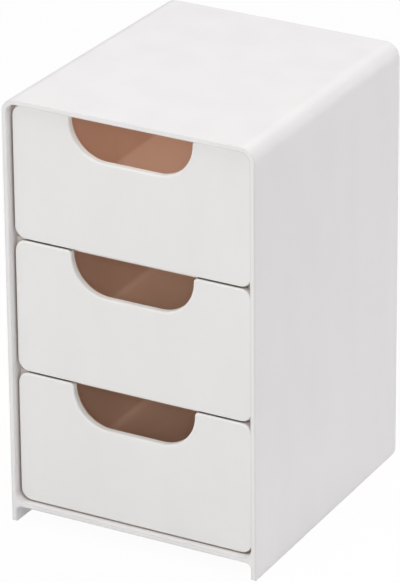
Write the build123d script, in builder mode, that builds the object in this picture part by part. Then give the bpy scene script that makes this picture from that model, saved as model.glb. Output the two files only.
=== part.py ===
"""Desktop mini drawers: a tall moulded sleeve on two skirts, holding three pull-out drawers.

Millimetres, +Z up. The drawers open towards -Y. The origin is the middle of the footprint,
on the surface that the skirts stand on. The sleeve tapers towards the back, as mouldings do.
"""

import os

from build123d import *

os.makedirs("parts", exist_ok=True)

# Sleeve
body_width = 110.0
body_depth = 125.0
body_height = 182.6
side_wall = 2.2
top_wall = 2.3
floor_thickness = 2.2
leg_height = 6.8  # clear height under the floor, between the skirts
side_draft = 1.87  # each side leans in by this much from front to back
top_draft = 2.7  # the top drops by this much from front to back
top_corner_radius = 6.0
ceiling_corner_radius = 3.6
floor_corner_radius = 4.0  # follows the lower corners of the bottom drawer's front
leg_corner_radius = 2.5  # under the floor, where it meets the skirts
heel_radius = 2.5  # rear lower corner of each skirt
rim_edge_radius = 0.6
mouth_edge_radius = 0.4

# Back panel, snapped into a rebate in the sleeve's rear end
back_panel_thickness = 2.0
rebate_width = 1.0
rebate_corner_radius = 4.5
back_panel_gap = 0.15
back_panel_edge_radius = 0.4
snap_bead_radius = 0.6
snap_bead_rise = 0.3
snap_bead_length = 16.0
snap_bead_spacing = 90.0
snap_bead_gap = 0.1

# Shelves, each resting on two ledges of the sleeve
shelf_thickness = 2.0
shelf_side_gap = 0.2
shelf_end_gap = 0.2
shelf_corner_radius = 2.0
ledge_height = 2.0
ledge_reach = 2.1  # how far a ledge stands in from the wall at the back
nib_length = 1.0  # keeps the shelf from sliding forward
nib_height = 1.2

# Drawers
drawer_names = ["bottom_drawer", "middle_drawer", "top_drawer"]
shelf_names = ["lower_shelf", "upper_shelf"]  # each lies under the next drawer up
front_recess = 2.7  # the fronts lie this far behind the sleeve's mouth
front_thickness = 2.6
front_side_gap = 0.65
front_gap = 0.7  # between one front and the next
front_top_gap = 0.65
front_corner_radius = 5.0
front_edge_radius = 0.8
running_gap = 0.3  # under each drawer
finger_width = 53.8
finger_corner_radius = 15.2
finger_side = 2.1  # straight side of the cut-out, above its rounded corners
finger_lip_radius = 1.9
travel = 95.0

# Trays
tray_wall = 1.5
tray_floor = 1.5
tray_side_gap = 0.5
tray_top_gap = 0.7
tray_close_gap = 0.4
tray_corner_radius = 4.5
tray_floor_radius = 2.4  # inside, round the floor
tray_rim_radius = 0.4
finger_margin = 0.8  # the tray's front wall stays back from the finger cut-out by this
front_shelf_gap = 0.6  # between a closed front and the ledges behind it

# Stop: the tray's rear catch meets a rib under the shelf or under the top
catch_width = 60.0
catch_gap = 0.5
catch_corner_radius = 1.5
stop_width = 44.0
stop_overlap = 0.8
stop_thickness = 1.6
stop_gap = 0.5

# Pegs that fasten a front to its tray, with their ends flattened into heads
peg_radius = 1.5
peg_gap = 0.15
peg_head_radius = 2.6
peg_head_height = 0.8
peg_spacing = 76.0
peg_heights = [10.0, 44.0]

fillet_share = 0.95  # the most of a wall or an edge that a rounding takes
overshoot = 1.0  # how far a cutting shape runs past the surface that it cuts

# Places that follow from the sizes
mouth_y = -body_depth / 2
rear_y = body_depth / 2
floor_top = leg_height + floor_thickness
mouth_top = body_height - top_wall
front_face_y = mouth_y + front_recess
front_rear_y = front_face_y + front_thickness
panel_inner_y = rear_y - back_panel_thickness
drawer_count = len(drawer_names)
mouth_height = mouth_top - floor_top
front_height = (mouth_height - running_gap - front_top_gap - (drawer_count - 1) * front_gap) / drawer_count
pitch = front_height + front_gap
drawer_bottoms = [floor_top + running_gap + place * pitch for place in range(drawer_count)]


def taper(y):
    """Share of the way from the sleeve's mouth to its rear end."""
    return (y - mouth_y) / body_depth


def outer_half_width(y):
    return body_width / 2 - side_draft * taper(y)


def inner_half_width(y):
    return outer_half_width(y) - side_wall


def top_height(y):
    return body_height - top_draft * taper(y)


def ceiling_height(y):
    return top_height(y) - top_wall


def section_plane(y):
    """The upright plane across the sleeve at y, with its own x to the right and y up."""
    return Plane.XZ.offset(-y)


def side_edges(face):
    """The left and right edges of a level or nearly level face."""
    edges = face.edges().sort_by(Axis.X)
    return [edges[0], edges[-1]]


def tapered_block(front_y, back_y, half_width, bottom, top, lower_radius, upper_radius):
    """A block that narrows and drops towards the back, with its long edges rounded.

    half_width and top are functions of y.
    """
    front_top = top(front_y)
    upward = (0, front_top - top(back_y), back_y - front_y)  # square to the slope of the top
    slope = Plane(origin=(0, front_y, front_top), x_dir=(1, 0, 0), z_dir=upward)
    with BuildPart() as block:
        with BuildSketch(Plane.XY.offset(bottom)):
            with BuildLine():
                Polyline(
                    (-half_width(front_y), front_y),
                    (half_width(front_y), front_y),
                    (half_width(back_y), back_y),
                    (-half_width(back_y), back_y),
                    close=True,
                )
            make_face()
        extrude(amount=front_top + overshoot - bottom)
        split(bisect_by=slope, keep=Keep.BOTTOM)
        if upper_radius:
            fillet(side_edges(block.faces().sort_by(Axis.Z)[-1]), upper_radius)
        if lower_radius:
            fillet(side_edges(block.faces().sort_by(Axis.Z)[0]), lower_radius)
    return block.part


tray_heel_radius = floor_corner_radius - running_gap  # outside, along the bottom edges
finger_depth = finger_side + finger_corner_radius

# Levels inside one drawer's space, counted from the drawer's own bottom
shelf_underside = pitch - running_gap - shelf_thickness
tray_height = shelf_underside - ledge_height - tray_top_gap
tray_back_y = panel_inner_y - tray_close_gap
top_room = ceiling_height(tray_back_y) - drawer_bottoms[-1]
catch_top = min(shelf_underside, top_room) - catch_gap
stop_bottom = catch_top - stop_overlap

# Places across and along the sleeve
ledge_front_y = front_rear_y + front_shelf_gap
ledge_half_width = inner_half_width(rear_y) - ledge_reach
stop_y = tray_back_y - tray_wall - travel - stop_gap
front_half_width = inner_half_width(front_rear_y) - front_side_gap
tray_half_width = inner_half_width(rear_y) - tray_side_gap
panel_half_width = inner_half_width(rear_y) + rebate_width - back_panel_gap
panel_bottom = floor_top - rebate_width + back_panel_gap
panel_top = ceiling_height(rear_y) + rebate_width - back_panel_gap
bead_x = panel_half_width + snap_bead_rise - snap_bead_radius
bead_y = panel_inner_y + back_panel_thickness / 2
bead_heights = [(panel_bottom + panel_top + end * snap_bead_spacing) / 2 for end in (-1, 1)]
bead_places = [(side * bead_x, bead_y, height) for side in (-1, 1) for height in bead_heights]


def strip_beside_wall(level, front_y, back_y):
    """Two level strips, from the ledges' inner line to the middle of the side walls."""
    with BuildSketch(Plane.XY.offset(level)) as strips:
        with BuildLine():
            Polyline(
                (ledge_half_width, front_y),
                (inner_half_width(front_y) + side_wall / 2, front_y),
                (inner_half_width(back_y) + side_wall / 2, back_y),
                (ledge_half_width, back_y),
                close=True,
            )
        make_face()
        mirror(about=Plane.YZ)
    return strips.sketch


def stop_profile(bottom, top):
    """The stop rib seen from the side: upright at the back, ramped at the front."""
    with BuildSketch(Plane.YZ) as profile:
        with BuildLine():
            Polyline(
                (stop_y, bottom),
                (stop_y, top),
                (stop_y - stop_thickness - (top - bottom), top),
                (stop_y - stop_thickness, bottom),
                close=True,
            )
        make_face()
    return profile.sketch


def finger_opening(top, margin):
    """The cut-out in a front's top edge, drawn flat, grown by margin."""
    lowest = top - finger_depth - margin
    with BuildSketch() as opening:
        with Locations((0, (lowest + top + overshoot) / 2)):
            Rectangle(finger_width + 2 * margin, top + overshoot - lowest)
        fillet(opening.vertices().group_by(Axis.Y)[0], finger_corner_radius + margin)
    return opening.sketch


# Outer shell: a sleeve with a floor between two skirts. The two hollows run out at both ends.
hollow_ends = (mouth_y - overshoot, rear_y + overshoot)
outside = tapered_block(mouth_y, rear_y, outer_half_width, 0, top_height, 0, top_corner_radius)
drawer_space = tapered_block(
    *hollow_ends, inner_half_width, floor_top, ceiling_height, floor_corner_radius, ceiling_corner_radius
)
leg_space = tapered_block(
    *hollow_ends, inner_half_width, -overshoot, lambda y: leg_height, 0, leg_corner_radius
)

with BuildPart() as outer_shell:
    add(outside)
    heel = outer_shell.edges().filter_by(Axis.X).group_by(Axis.Z)[0].sort_by(Axis.Y)[-1]
    fillet(heel, heel_radius)
    add(drawer_space, mode=Mode.SUBTRACT)
    add(leg_space, mode=Mode.SUBTRACT)

    # Rounded arrises round the mouth, outside and then inside
    fillet(outer_shell.faces().sort_by(Axis.Y)[0].outer_wire().edges(), rim_edge_radius)
    fillet(outer_shell.faces().sort_by(Axis.Y)[0].inner_wires().edges(), mouth_edge_radius)

    # Ledges for the shelves, with a nib at the front end of each
    for bottom in drawer_bottoms[1:]:
        shelf_top = bottom - running_gap
        extrude(
            strip_beside_wall(shelf_top - shelf_thickness - ledge_height, ledge_front_y, panel_inner_y),
            amount=ledge_height,
        )
        extrude(
            strip_beside_wall(shelf_top - shelf_thickness, ledge_front_y, ledge_front_y + nib_length),
            amount=nib_height,
        )

    # Stop rib for the top drawer
    extrude(
        stop_profile(drawer_bottoms[-1] + stop_bottom, ceiling_height(stop_y) + top_wall / 2),
        amount=stop_width / 2,
        both=True,
    )

    # Rebate for the back panel, with hollows for its snap beads
    with BuildSketch(section_plane(panel_inner_y)) as rebate:
        with Locations((0, (panel_bottom + panel_top) / 2)):
            Rectangle(2 * panel_half_width, panel_top - panel_bottom)
        offset(amount=back_panel_gap, kind=Kind.INTERSECTION)
        fillet(rebate.vertices(), rebate_corner_radius)
    extrude(amount=-(back_panel_thickness + overshoot), mode=Mode.SUBTRACT)
    with Locations(bead_places):
        Cylinder(snap_bead_radius + snap_bead_gap, snap_bead_length + 2 * snap_bead_gap, mode=Mode.SUBTRACT)

outer_shell.part.label = "outer_shell"
export_step(outer_shell.part, "parts/outer_shell.step")

# Back panel
with BuildPart() as back_panel:
    with BuildSketch(section_plane(panel_inner_y)) as plate:
        with Locations((0, (panel_bottom + panel_top) / 2)):
            Rectangle(2 * panel_half_width, panel_top - panel_bottom)
        fillet(plate.vertices(), rebate_corner_radius - back_panel_gap)
    extrude(amount=-back_panel_thickness)
    fillet(back_panel.faces().sort_by(Axis.Y)[-1].edges(), back_panel_edge_radius)
    with Locations(bead_places):
        Cylinder(snap_bead_radius, snap_bead_length)

back_panel.part.label = "back_panel"
export_step(back_panel.part, "parts/back_panel.step")

# Shelves: tapered plates that rest on the ledges, with a stop rib under the front half
for shelf_name, bottom in zip(shelf_names, drawer_bottoms[1:]):
    shelf_bottom = bottom - running_gap - shelf_thickness
    shelf_front_y = ledge_front_y + nib_length
    shelf_back_y = panel_inner_y - shelf_end_gap
    with BuildPart() as shelf:
        with BuildSketch(Plane.XY.offset(shelf_bottom)) as plate:
            with BuildLine():
                Polyline(
                    (-inner_half_width(shelf_front_y) + shelf_side_gap, shelf_front_y),
                    (inner_half_width(shelf_front_y) - shelf_side_gap, shelf_front_y),
                    (inner_half_width(shelf_back_y) - shelf_side_gap, shelf_back_y),
                    (-inner_half_width(shelf_back_y) + shelf_side_gap, shelf_back_y),
                    close=True,
                )
            make_face()
            fillet(plate.vertices(), shelf_corner_radius)
        extrude(amount=shelf_thickness)
        rib_bottom = bottom - pitch + stop_bottom
        extrude(stop_profile(rib_bottom, shelf_bottom), amount=stop_width / 2, both=True)
    shelf.part.label = shelf_name
    export_step(shelf.part, f"parts/{shelf_name}.step")

# Drawers: a front and a tray each
for drawer_name, bottom in zip(drawer_names, drawer_bottoms):
    front_top = bottom + front_height
    peg_places = [(side * peg_spacing / 2, bottom + height) for side in (-1, 1) for height in peg_heights]
    front_opening = finger_opening(front_top, 0)
    tray_opening = finger_opening(front_top, finger_margin)

    with BuildPart() as front:
        with BuildSketch(section_plane(front_rear_y)) as outline:
            with Locations((0, (bottom + front_top) / 2)):
                Rectangle(2 * front_half_width, front_height)
            fillet(outline.vertices(), front_corner_radius)
            add(front_opening, mode=Mode.SUBTRACT)
            lips = outline.vertices().group_by(Axis.Y)[-1].sort_by(Axis.X)[1:-1]
            fillet(lips, min(finger_lip_radius, fillet_share * finger_side))
        extrude(amount=front_thickness)
        fillet(front.faces().sort_by(Axis.Y)[0].edges(), front_edge_radius)
        with BuildSketch(section_plane(front_rear_y)):
            with Locations(peg_places):
                Circle(peg_radius)
        extrude(amount=-tray_wall)
        with BuildSketch(section_plane(front_rear_y + tray_wall)):
            with Locations(peg_places):
                Circle(peg_head_radius)
        extrude(amount=-peg_head_height)
    front.part.label = f"{drawer_name}_front"
    export_step(front.part, f"parts/{drawer_name}_front.step")

    with BuildPart() as tray:
        with BuildSketch(Plane.XY.offset(bottom)) as footprint:
            with Locations((0, (front_rear_y + tray_back_y) / 2)):
                Rectangle(2 * tray_half_width, tray_back_y - front_rear_y)
            fillet(footprint.vertices().group_by(Axis.Y)[-1], tray_corner_radius)
        extrude(amount=tray_height)
        heels = tray.edges().group_by(Axis.Z)[0].sort_by(Axis.Y)[1:]
        fillet(heels, min(tray_heel_radius, tray_corner_radius))
        inner_radius = tray_corner_radius - tray_wall
        with BuildSketch(Plane.XY.offset(bottom + tray_floor)) as inside:
            with Locations((0, (front_rear_y + tray_back_y) / 2)):
                Rectangle(2 * (tray_half_width - tray_wall), tray_back_y - front_rear_y - 2 * tray_wall)
            fillet(inside.vertices(), inner_radius)
        extrude(amount=tray_height, mode=Mode.SUBTRACT)
        level_faces = tray.faces().filter_by(Axis.Z).sort_by(Axis.Z)
        fillet(level_faces[1].edges(), min(tray_floor_radius, inner_radius))
        fillet(tray.faces().filter_by(Axis.Z).sort_by(Axis.Z)[-1].inner_wires().edges(), tray_rim_radius)

        # Catch on the rear wall
        with BuildSketch(section_plane(tray_back_y - tray_wall)) as catch:
            with Locations((0, bottom + (tray_height - overshoot + catch_top) / 2)):
                Rectangle(catch_width, catch_top - tray_height + overshoot)
            fillet(catch.vertices().group_by(Axis.Y)[-1], catch_corner_radius)
        extrude(amount=-tray_wall)

        # Finger cut-out and peg holes in the front wall
        with BuildSketch(section_plane(front_rear_y)):
            add(tray_opening)
        extrude(amount=-(tray_wall + overshoot), mode=Mode.SUBTRACT)
        with BuildSketch(section_plane(front_rear_y)):
            with Locations(peg_places):
                Circle(peg_radius + peg_gap)
        extrude(amount=-tray_wall, mode=Mode.SUBTRACT)
    tray.part.label = f"{drawer_name}_tray"
    export_step(tray.part, f"parts/{drawer_name}_tray.step")
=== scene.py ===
"""Desktop mini drawers: the finish of every moulding, in a plain white studio.

Metres, +Z up. The drawers open towards -Y. Lengths named with _MM are in millimetres, angles are in
degrees. Azimuth is 0 in front and grows towards +X, the object's right as the photograph shows it.
"""

import math

import bpy
from mathutils import Matrix, Vector

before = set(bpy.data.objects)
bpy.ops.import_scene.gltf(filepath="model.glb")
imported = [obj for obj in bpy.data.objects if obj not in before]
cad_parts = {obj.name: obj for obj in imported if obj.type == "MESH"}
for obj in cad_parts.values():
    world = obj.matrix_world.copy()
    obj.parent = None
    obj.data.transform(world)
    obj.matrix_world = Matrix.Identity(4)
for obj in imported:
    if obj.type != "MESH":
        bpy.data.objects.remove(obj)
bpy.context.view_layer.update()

MM = 0.001
WHITE_LIGHT = (1.0, 1.0, 1.0, 1.0)

# The photograph's view: where the camera stands, and where it looks
IMAGE_LONG_SIDE = 583
SENSOR_MM = 36.0
FOCAL_LENGTH_PX = 4921.7
CAMERA_AZIMUTH = 28.84
CAMERA_ELEVATION = 24.99
CAMERA_ROLL = -0.48
CAMERA_DISTANCE = 1.9484
CAMERA_CLIP_END = 20.0
AIM_RIGHT_MM = -2.63
AIM_UP_MM = -4.27
AIM_HEIGHT_MM = 91.3

# sRGB colours. Each plastic has a plain colour, a barely paler one where the melt flowed, one for its
# arrises and a painted shade for its gaps and corners. The sleeve's arrises are a shade darker than
# its faces and the others' are paler, a painted highlight. The sleeve's painted shade is pale, because
# light comes through it.
FRONT_WHITE = {"plain": "#EFEEEC", "flow": "#F1F0EE", "arris": "#FFFDFA", "painted_shade": "#7A655A"}
SLEEVE_WHITE = {"plain": "#F0EEEE", "flow": "#F2F0F0", "arris": "#D8D4D0", "painted_shade": "#E2D4C9"}
INNER_WHITE = {"plain": "#EAE7E4", "flow": "#ECE9E6", "arris": "#F4F0EC", "painted_shade": "#B09888"}
TAN_AND_SHADE = {"plain": "#DBB69D", "flow": "#DEBAA2", "arris": "#E4C6B3", "painted_shade": "#8E6A54"}
STUDIO_WHITE = "#F4F4F4"

# What one face of a thin wall lets through to lamp light, as an sRGB grey
SLEEVE_PASSES = "#D2D2D2"
SHELF_PASSES = "#DADADA"
TRAY_PASSES = "#EDEDED"

# Refractive indices
ABS_IOR = 1.54
POLYPROPYLENE_IOR = 1.49

# Roughness at the two ends of the flow marks
FRONT_ROUGHNESS = (0.4, 0.45)
SLEEVE_ROUGHNESS = (0.42, 0.48)
INNER_ROUGHNESS = (0.46, 0.58)
TRAY_ROUGHNESS = (0.32, 0.44)

# Moulding marks. The spark-eroded grain is really 0.1 mm wide: it is drawn coarser, so that it shows.
GRAIN_WIDTH_MM = 0.7
GRAIN_DEPTH_MM = 0.008
GRAIN_DETAIL = 2.0
WAVE_WIDTH_MM = 22.0
WAVE_DEPTH_MM = 0.05
WAVE_DETAIL = 1.0
FLOW_WIDTH_MM = 16.0
FLOW_STRETCH = 3.0
FLOW_DETAIL = 3.0

# The span of the flow noise over which the colour, and the roughness, goes from one end to the other
FLOW_COLOUR_SPAN = (0.35, 0.65)
FLOW_ROUGHNESS_SPAN = (0.3, 0.7)

# Scuffs along a tray: only the highest part of the noise is a scuff
SCUFF_WIDTH_MM = 0.5
SCUFF_LENGTH_MM = 30.0
SCUFF_DETAIL = 1.0
SCUFF_SPAN = (0.7, 0.8)

# Arrises, which get a painted highlight, and on the sleeve a darker line: how far the rounded normal
# reaches, and its agreement with the face where an arris starts and where it is full
ARRIS_REACH_MM = 0.7
ARRIS_SAMPLES = 4
ARRIS_STARTS = 1.0
ARRIS_FULL = 0.94

# Recesses, where shade is painted: how far off a neighbour counts, and the openness where the painted
# shade starts and where it is full
RECESS_REACH_MM = 4.0
RECESS_SAMPLES = 8
RECESS_STARTS = 0.55
RECESS_FULL = 0.1

# Studio. The side and the rear lamp stay below the top face, which would mirror them at low angles.
WORLD_STRENGTH = 0.15
FLOOR_HALF_SIDE = 3.0
FLOOR_GLOW_SHARE = 0.95
STUDIO_LAMPS = (
    # name, azimuth, elevation, distance in metres, side in metres, power in watts
    ("front_softbox", 28.8, 25, 2.3, 0.16, 8.25),
    ("middle_softbox", -15, 20, 1.2, 0.8, 1.9),
    ("high_left_softbox", -50, 45, 1.2, 0.8, 2.9),
    ("overhead_softbox", 28.8, 70, 1.2, 0.8, 4.9),
    ("top_softbox", 170, 65, 1.2, 0.8, 6.0),
    ("side_softbox", 125, -1, 1.2, 0.16, 2.25),
    ("rear_softbox", 172, -1, 1.2, 0.16, 3.4),
)


def linear(hex_colour):
    """An sRGB hex colour as linear RGBA."""
    channels = [int(hex_colour[place:place + 2], 16) / 255 for place in (1, 3, 5)]
    return [c / 12.92 if c <= 0.04045 else ((c + 0.055) / 1.055) ** 2.4 for c in channels] + [1.0]


def add_node(tree, kind, inputs=None, **settings):
    """Adds a node to tree. inputs names each socket with the value or the socket it takes."""
    node = tree.nodes.new(kind)
    for name, value in settings.items():
        setattr(node, name, value)
    for name, value in (inputs or {}).items():
        if isinstance(value, bpy.types.NodeSocket):
            tree.links.new(value, node.inputs[name])
        else:
            node.inputs[name].default_value = value
    return node


def new_material(name):
    """A material with no nodes yet."""
    material = bpy.data.materials.new(name)
    material.use_nodes = True
    material.node_tree.nodes.clear()
    return material


def arris_share(tree):
    """1 along a rounded arris and 0 on a flat face."""
    reach = {"Radius": ARRIS_REACH_MM * MM}
    rounded = add_node(tree, "ShaderNodeBevel", reach, samples=ARRIS_SAMPLES)
    face = add_node(tree, "ShaderNodeNewGeometry")
    normals = {0: rounded.outputs["Normal"], 1: face.outputs["Normal"]}
    agreement = add_node(tree, "ShaderNodeVectorMath", normals, operation="DOT_PRODUCT")
    span = {"Value": agreement.outputs["Value"], "From Min": ARRIS_STARTS, "From Max": ARRIS_FULL}
    return add_node(tree, "ShaderNodeMapRange", span).outputs[0]


def painted_shade_share(tree):
    """Where shade is painted: 0 in the open and towards 1 in a gap or a corner."""
    reach = {"Distance": RECESS_REACH_MM * MM}
    openness = add_node(tree, "ShaderNodeAmbientOcclusion", reach, samples=RECESS_SAMPLES)
    span = {"Value": openness.outputs["AO"], "From Min": RECESS_STARTS, "From Max": RECESS_FULL}
    return add_node(tree, "ShaderNodeMapRange", span).outputs[0]


def scuff_share(tree, place):
    """1 on the fine scratches that small things leave as they slide front to back in a tray."""
    across, along = 1 / (SCUFF_WIDTH_MM * MM), 1 / (SCUFF_LENGTH_MM * MM)
    drawn_out = add_node(
        tree, "ShaderNodeMapping", {"Vector": place, "Scale": (across, along, across)}
    )
    lines = add_node(
        tree,
        "ShaderNodeTexNoise",
        {"Vector": drawn_out.outputs[0], "Scale": 1.0, "Detail": SCUFF_DETAIL},
    )
    low, high = SCUFF_SPAN
    span = {"Value": lines.outputs["Fac"], "From Min": low, "From Max": high}
    return add_node(tree, "ShaderNodeMapRange", span).outputs[0]


def flow_noise(tree, place):
    """Marks that the melt leaves as it runs up the walls."""
    across, up = 1 / (FLOW_WIDTH_MM * MM), 1 / (FLOW_WIDTH_MM * FLOW_STRETCH * MM)
    drawn_out = add_node(tree, "ShaderNodeMapping", {"Vector": place, "Scale": (across, across, up)})
    return add_node(
        tree,
        "ShaderNodeTexNoise",
        {"Vector": drawn_out.outputs[0], "Scale": 1.0, "Detail": FLOW_DETAIL},
    ).outputs["Fac"]


def moulding_relief(tree, place):
    """The slow waves of a wall that has cooled, with the mould's spark-eroded grain on them."""
    normal = None
    for width, depth, detail in (
        (WAVE_WIDTH_MM, WAVE_DEPTH_MM, WAVE_DETAIL),
        (GRAIN_WIDTH_MM, GRAIN_DEPTH_MM, GRAIN_DETAIL),
    ):
        pattern = {"Vector": place, "Scale": 1 / (width * MM), "Detail": detail}
        height = add_node(tree, "ShaderNodeTexNoise", pattern).outputs["Fac"]
        bump = {"Height": height, "Distance": depth * MM}
        if normal:
            bump["Normal"] = normal
        normal = add_node(tree, "ShaderNodeBump", bump).outputs["Normal"]
    return normal


def moulded_plastic(name, colours, roughness, ior, passes=None, scuffed=False):
    """An injection moulding from a spark-eroded mould.

    passes is what one of its faces lets through to lamp light. Without it, the plastic is opaque.
    """
    material = new_material(name)
    tree = material.node_tree
    place = add_node(tree, "ShaderNodeTexCoord").outputs["Object"]
    flow = flow_noise(tree, place)

    low, high = FLOW_COLOUR_SPAN
    streaks = add_node(
        tree, "ShaderNodeMapRange", {"Value": flow, "From Min": low, "From Max": high}
    )
    layers = [(streaks.outputs[0], "flow")]
    if scuffed:
        layers.append((scuff_share(tree, place), "arris"))
    # Arrises take their own colour, on all but the sleeve a paler painted highlight, and gaps and
    # corners take a painted shade
    layers += [(arris_share(tree), "arris"), (painted_shade_share(tree), "painted_shade")]
    colour = linear(colours["plain"])
    for share, kind in layers:
        # Sockets 6 and 7 and output 2 are the node's colour ones
        blend = {0: share, 6: colour, 7: linear(colours[kind])}
        colour = add_node(tree, "ShaderNodeMix", blend, data_type="RGBA").outputs[2]

    low, high = FLOW_ROUGHNESS_SPAN
    uneven_gloss = add_node(
        tree,
        "ShaderNodeMapRange",
        {
            "Value": flow,
            "From Min": low,
            "From Max": high,
            "To Min": roughness[0],
            "To Max": roughness[1],
        },
    )
    shader = add_node(
        tree,
        "ShaderNodeBsdfPrincipled",
        {
            "Base Color": colour,
            "Roughness": uneven_gloss.outputs[0],
            "IOR": ior,
            "Normal": moulding_relief(tree, place),
        },
    )
    if passes:
        # Lamp light goes on through the wall, and to the eye the wall stays solid
        rays = add_node(tree, "ShaderNodeLightPath")
        through = add_node(tree, "ShaderNodeBsdfTransparent", {"Color": linear(passes)})
        shader = add_node(
            tree,
            "ShaderNodeMixShader",
            {0: rays.outputs["Is Shadow Ray"], 1: shader.outputs[0], 2: through.outputs[0]},
        )
    add_node(tree, "ShaderNodeOutputMaterial", {"Surface": shader.outputs[0]})
    return material


def dress(node_names, material):
    """Gives every slot of the named CAD nodes the material."""
    for name in node_names:
        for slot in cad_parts[name].material_slots:
            slot.material = material


def direction(azimuth, elevation):
    """The unit vector from the object towards azimuth and elevation."""
    around, above = math.radians(azimuth), math.radians(elevation)
    level = math.cos(above)
    return Vector((math.sin(around) * level, -math.cos(around) * level, math.sin(above)))


def studio_floor():
    """A white floor. The camera sees it nearly pure white, with a trace of the shadow left."""
    half = FLOOR_HALF_SIDE
    corners = [(-half, -half, 0), (half, -half, 0), (half, half, 0), (-half, half, 0)]
    mesh = bpy.data.meshes.new("studio_floor")
    mesh.from_pydata(corners, [], [(0, 1, 2, 3)])
    floor = bpy.data.objects.new("studio_floor", mesh)
    bpy.context.scene.collection.objects.link(floor)

    material = new_material("studio_floor")
    tree = material.node_tree
    rays = add_node(tree, "ShaderNodeLightPath")
    diffuse = add_node(tree, "ShaderNodeBsdfDiffuse", {"Color": linear(STUDIO_WHITE)}).outputs[0]
    glow = add_node(tree, "ShaderNodeEmission", {"Color": WHITE_LIGHT, "Strength": 1.0}).outputs[0]
    seen = add_node(tree, "ShaderNodeMixShader", {0: FLOOR_GLOW_SHARE, 1: diffuse, 2: glow}).outputs[0]
    surface = add_node(
        tree, "ShaderNodeMixShader", {0: rays.outputs["Is Camera Ray"], 1: diffuse, 2: seen}
    )
    add_node(tree, "ShaderNodeOutputMaterial", {"Surface": surface.outputs[0]})
    mesh.materials.append(material)


def studio_world():
    """Even white light from all round. The camera sees it pure white."""
    world = bpy.data.worlds.new("studio")
    world.use_nodes = True
    tree = world.node_tree
    tree.nodes.clear()
    rays = add_node(tree, "ShaderNodeLightPath")
    light, seen = (
        add_node(tree, "ShaderNodeBackground", {"Color": WHITE_LIGHT, "Strength": strength}).outputs[0]
        for strength in (WORLD_STRENGTH, 1.0)
    )
    surface = add_node(
        tree, "ShaderNodeMixShader", {0: rays.outputs["Is Camera Ray"], 1: light, 2: seen}
    )
    add_node(tree, "ShaderNodeOutputWorld", {"Surface": surface.outputs[0]})
    bpy.context.scene.world = world


def softbox(name, azimuth, elevation, distance, side, power):
    """A square lamp that faces the middle of the object."""
    away = direction(azimuth, elevation)
    data = bpy.data.lights.new(name, "AREA")
    data.shape = "SQUARE"
    data.size = side
    data.energy = power
    lamp = bpy.data.objects.new(name, data)
    lamp.location = Vector((0, 0, AIM_HEIGHT_MM * MM)) + away * distance
    lamp.rotation_euler = away.to_track_quat("Z", "Y").to_euler()
    bpy.context.scene.collection.objects.link(lamp)


def photograph_camera():
    """The camera of the photograph, as fitted to its straight edges."""
    azimuth = math.radians(CAMERA_AZIMUTH)
    roll = math.radians(CAMERA_ROLL)
    back = direction(CAMERA_AZIMUTH, CAMERA_ELEVATION)
    level_right = Vector((math.cos(azimuth), math.sin(azimuth), 0))
    level_up = back.cross(level_right)
    right = math.cos(roll) * level_right + math.sin(roll) * level_up
    up = back.cross(right)
    aim = Vector((0, 0, AIM_HEIGHT_MM * MM)) + right * AIM_RIGHT_MM * MM + up * AIM_UP_MM * MM
    data = bpy.data.cameras.new("photograph_camera")
    data.sensor_width = SENSOR_MM
    data.lens = FOCAL_LENGTH_PX * SENSOR_MM / IMAGE_LONG_SIDE
    data.clip_end = CAMERA_CLIP_END
    camera = bpy.data.objects.new("photograph_camera", data)
    turned = Matrix((right, up, back)).transposed().to_4x4()
    camera.matrix_world = Matrix.Translation(aim + back * CAMERA_DISTANCE) @ turned
    bpy.context.scene.collection.objects.link(camera)
    bpy.context.scene.camera = camera


# Fronts: opaque white ABS with a soft satin. Their arrises have a painted highlight, as fine pale
# lines, and their gaps a dark painted shade.
dress(
    [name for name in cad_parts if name.endswith("_front")],
    moulded_plastic("moulded_white_abs", FRONT_WHITE, FRONT_ROUGHNESS, ABS_IOR),
)
# Sleeve: milky white polypropylene, thin enough to let some light into the drawers
dress(
    ["outer_shell"],
    moulded_plastic(
        "moulded_white_polypropylene", SLEEVE_WHITE, SLEEVE_ROUGHNESS, POLYPROPYLENE_IOR, SLEEVE_PASSES
    ),
)
# Back panel and shelves: the same plastic from a plainer mould, a shade duller
dress(
    ["back_panel", "lower_shelf", "upper_shelf"],
    moulded_plastic(
        "moulded_plain_white_polypropylene",
        INNER_WHITE,
        INNER_ROUGHNESS,
        POLYPROPYLENE_IOR,
        SHELF_PASSES,
    ),
)
# Trays: polypropylene, smooth and a little glossier, with light scuffs along the drawer. Their tan is
# partly their own colour and partly painted shade, the warm shade inside the closed drawers.
dress(
    [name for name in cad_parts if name.endswith("_tray")],
    moulded_plastic(
        "moulded_polypropylene_tan_and_painted_shade", TAN_AND_SHADE, TRAY_ROUGHNESS, POLYPROPYLENE_IOR, TRAY_PASSES, scuffed=True
    ),
)

studio_floor()
studio_world()
for lamp in STUDIO_LAMPS:
    softbox(*lamp)
photograph_camera()
bpy.context.scene.view_settings.view_transform = "Standard"
